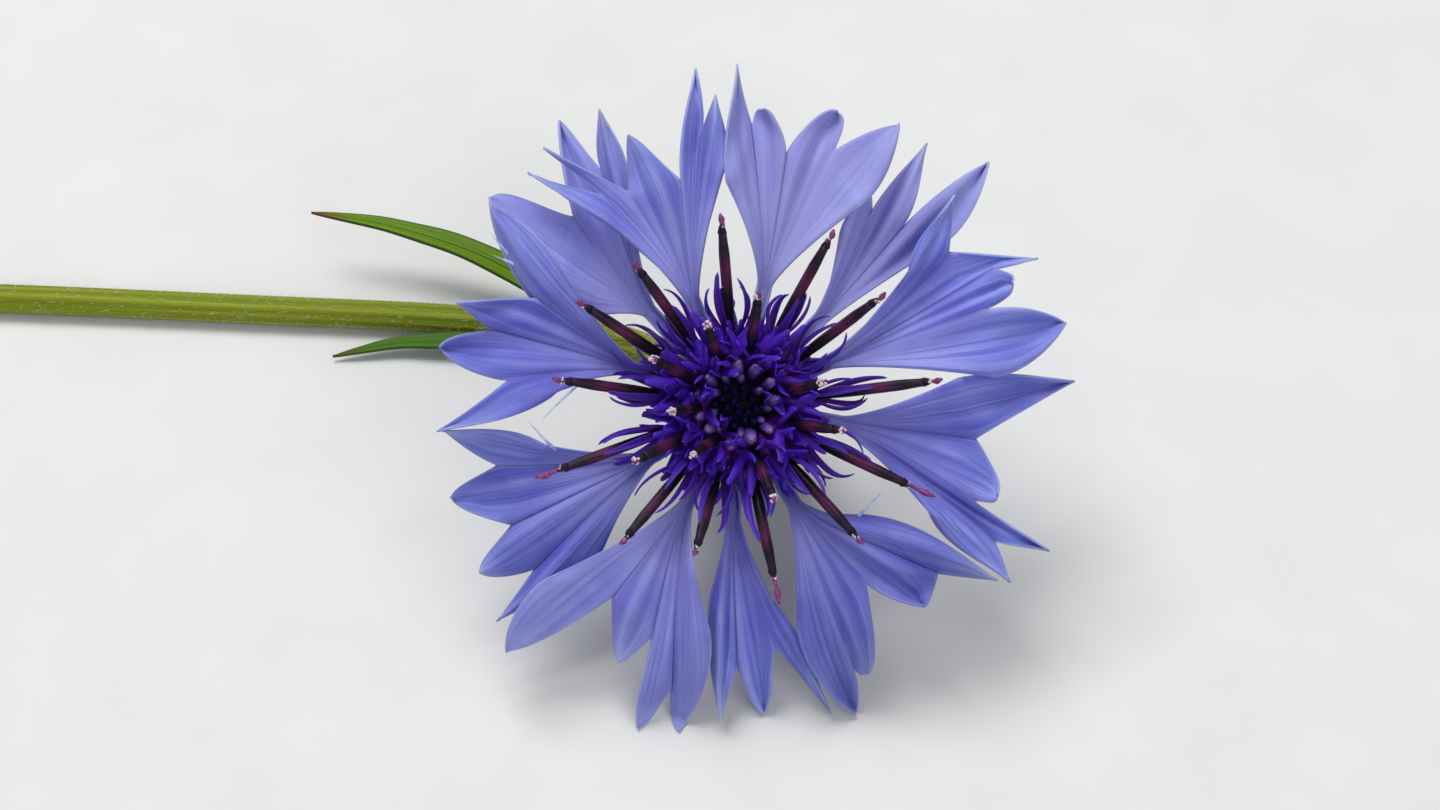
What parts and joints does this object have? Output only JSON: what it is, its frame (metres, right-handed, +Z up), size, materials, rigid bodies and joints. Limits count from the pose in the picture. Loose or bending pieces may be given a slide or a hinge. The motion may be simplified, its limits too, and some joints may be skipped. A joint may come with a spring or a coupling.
{
  "type": "cornflower",
  "caption": "Picked cornflower lying on a flat surface: fringed blue ray florets round a dark disc, over a bract cup, with a slim stem and narrow leaves.",
  "frame": {"origin": "middle of the bottom of the whole flower's box, on the surface it lies on", "axes": "+X runs from the stem's cut end towards the head, +Z is up from the surface, and the head's face leans over towards -Y"},
  "size_m": [0.1178, 0.042, 0.0295],
  "materials": {
    "ray_petal": "matte",
    "disc_petal": "matte",
    "closed_buds": "matte",
    "stem_skin": "matte",
    "leaf_blade": "matte",
    "bract_skin": "matte"
  },
  "bodies": {
    "root": {"bract_cup": "bract_skin", "disc_buds": "closed_buds", "disc_inner_01": "disc_petal", "disc_inner_02": "disc_petal", "disc_inner_03": "disc_petal", "disc_inner_04": "disc_petal", "disc_inner_05": "disc_petal", "disc_inner_06": "disc_petal", "disc_inner_07": "disc_petal", "disc_inner_08": "disc_petal", "disc_inner_09": "disc_petal", "disc_outer_01": "disc_petal", "disc_outer_02": "disc_petal", "disc_outer_03": "disc_petal", "disc_outer_04": "disc_petal", "disc_outer_05": "disc_petal", "disc_outer_06": "disc_petal", "disc_outer_07": "disc_petal", "disc_outer_08": "disc_petal", "disc_outer_09": "disc_petal", "disc_outer_10": "disc_petal", "disc_outer_11": "disc_petal", "disc_outer_12": "disc_petal", "disc_outer_13": "disc_petal", "leaf_lower": "leaf_blade", "leaf_upper": "leaf_blade", "ray_floret_01": "ray_petal", "ray_floret_02": "ray_petal", "ray_floret_03": "ray_petal", "ray_floret_04": "ray_petal", "ray_floret_05": "ray_petal", "ray_floret_06": "ray_petal", "ray_floret_07": "ray_petal", "ray_floret_08": "ray_petal", "ray_floret_09": "ray_petal", "ray_floret_10": "ray_petal", "ray_floret_11": "ray_petal", "stem": "stem_skin"}
  },
  "joints": []
}
